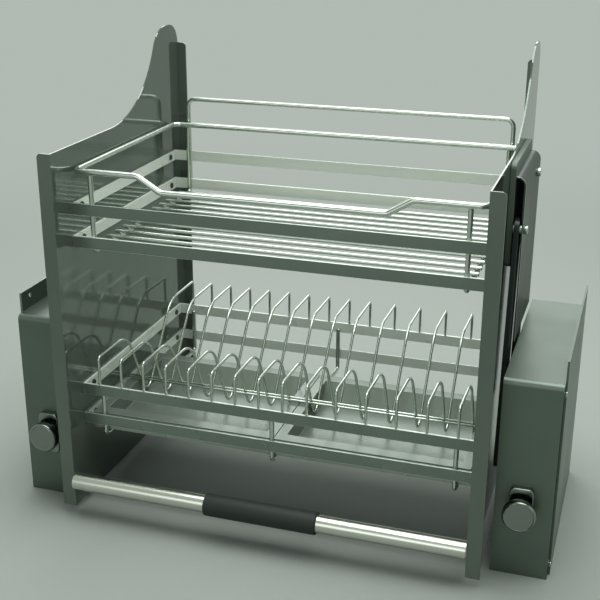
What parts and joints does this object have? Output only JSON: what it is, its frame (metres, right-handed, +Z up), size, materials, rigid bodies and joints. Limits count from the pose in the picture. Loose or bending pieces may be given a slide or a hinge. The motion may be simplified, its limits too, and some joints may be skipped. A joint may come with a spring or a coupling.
{
  "type": "pull-down dish rack",
  "caption": "Two-tier wire dish rack for a wall cabinet, carried forward and down by spring-balanced parallel arms, with drip trays and a pull bar.",
  "frame": {"origin": "under the middle of the whole rack, on the plane that the two housings stand on", "axes": "+X to the right as seen from the front, +Y to the back of the cabinet, +Z up"},
  "size_m": [0.564, 0.31, 0.477],
  "materials": {
    "coated_steel": "satin grey-green powder coat",
    "housing_steel": "satin grey-green powder coat",
    "bright_wire": "polished",
    "tray_metal": "satin light grey",
    "handle_metal": "satin",
    "grip_foam": "matt black foam",
    "plated_steel": "zinc plated",
    "nylon": "natural nylon",
    "knob_plastic": "satin grey",
    "damper_plastic": "black",
    "buffer_rubber": "black rubber",
    "spring_steel": "oiled spring steel"
  },
  "bodies": {
    "housings": {"shaft_bushes": "nylon", "spacer_pillars": "plated_steel", "cover_screws": "plated_steel", "stop_buffers": "buffer_rubber", "right_mounting_plate": "housing_steel", "right_housing_cover": "housing_steel", "right_knob_surround": "knob_plastic", "right_rotary_damper": "damper_plastic", "right_extension_springs": "spring_steel", "left_mounting_plate": "housing_steel", "left_housing_cover": "housing_steel", "left_knob_surround": "knob_plastic", "left_rotary_damper": "damper_plastic", "left_extension_springs": "spring_steel"},
    "rack": {"upper_basket_top_ring": "coated_steel", "upper_basket_bottom_ring": "coated_steel", "lower_basket_top_ring": "coated_steel", "lower_basket_bottom_ring": "coated_steel", "ring_screws": "plated_steel", "top_rail": "bright_wire", "upper_cradle_rods": "bright_wire", "tray_cradle_rods": "bright_wire", "shelf_wires": "bright_wire", "back_guard": "bright_wire", "plate_dividers": "bright_wire", "brace_wires": "bright_wire", "right_drip_tray": "tray_metal", "left_drip_tray": "tray_metal", "handle_tube": "handle_metal", "handle_grip": "grip_foam", "handle_end_plugs": "nylon", "handle_screws": "plated_steel", "right_side_plate": "coated_steel", "right_link_bracket": "coated_steel", "right_link_cover": "coated_steel", "right_pivot_pins": "plated_steel", "left_side_plate": "coated_steel", "left_link_bracket": "coated_steel", "left_link_cover": "coated_steel", "left_pivot_pins": "plated_steel"},
    "right_rear_arm": {"right_rear_arm": "coated_steel", "right_rear_shaft": "plated_steel", "right_crank_lever": "plated_steel"},
    "right_front_arm": {"right_front_arm": "coated_steel", "right_front_shaft": "plated_steel"},
    "right_adjuster": {"right_adjuster_knob": "knob_plastic", "right_tension_screw": "plated_steel"},
    "right_anchor": {"right_spring_anchor": "plated_steel"},
    "left_rear_arm": {"left_rear_arm": "coated_steel", "left_rear_shaft": "plated_steel", "left_crank_lever": "plated_steel"},
    "left_front_arm": {"left_front_arm": "coated_steel", "left_front_shaft": "plated_steel"},
    "left_adjuster": {"left_adjuster_knob": "knob_plastic", "left_tension_screw": "plated_steel"},
    "left_anchor": {"left_spring_anchor": "plated_steel"}
  },
  "joints": [
    {"name": "lift", "type": "hinge", "parent": "housings", "child": "right_rear_arm", "pos_m": [0.218, 0.033, 0.131], "axis": [1, 0, 0], "range_deg": [0, 95], "deforming": ["right_extension_springs", "left_extension_springs"]},
    {"name": "rack_level", "type": "hinge", "parent": "right_rear_arm", "child": "rack", "pos_m": [0.218, 0.059, 0.358], "axis": [1, 0, 0], "range_deg": [-95, 0]},
    {"name": "right_front_lift", "type": "hinge", "parent": "housings", "child": "right_front_arm", "pos_m": [0.218, -0.051, 0.095], "axis": [1, 0, 0], "range_deg": [0, 95]},
    {"name": "left_rear_lift", "type": "hinge", "parent": "housings", "child": "left_rear_arm", "pos_m": [-0.218, 0.033, 0.131], "axis": [1, 0, 0], "range_deg": [0, 95]},
    {"name": "left_front_lift", "type": "hinge", "parent": "housings", "child": "left_front_arm", "pos_m": [-0.218, -0.051, 0.095], "axis": [1, 0, 0], "range_deg": [0, 95]},
    {"name": "right_knob_turn", "type": "hinge", "parent": "housings", "child": "right_adjuster", "pos_m": [0.2505, -0.126, 0.075], "axis": [0, 1, 0], "range_deg": [0, 1440]},
    {"name": "right_anchor_slide", "type": "slide", "parent": "housings", "child": "right_anchor", "axis": [0, -1, 0], "range_m": [0, 0.0085]},
    {"name": "left_knob_turn", "type": "hinge", "parent": "housings", "child": "left_adjuster", "pos_m": [-0.2505, -0.126, 0.075], "axis": [0, 1, 0], "range_deg": [0, 1440]},
    {"name": "left_anchor_slide", "type": "slide", "parent": "housings", "child": "left_anchor", "axis": [0, -1, 0], "range_m": [0, 0.0085]}
  ],
  "couplings": [
    {"joint": "rack_level", "follows": "lift", "ratio": -1},
    {"joint": "right_front_lift", "follows": "lift", "ratio": 1},
    {"joint": "left_rear_lift", "follows": "lift", "ratio": 1},
    {"joint": "left_front_lift", "follows": "lift", "ratio": 1},
    {"joint": "right_anchor_slide", "follows": "right_knob_turn", "m_per_rad": 0.000318},
    {"joint": "left_anchor_slide", "follows": "left_knob_turn", "m_per_rad": 0.000318}
  ]
}
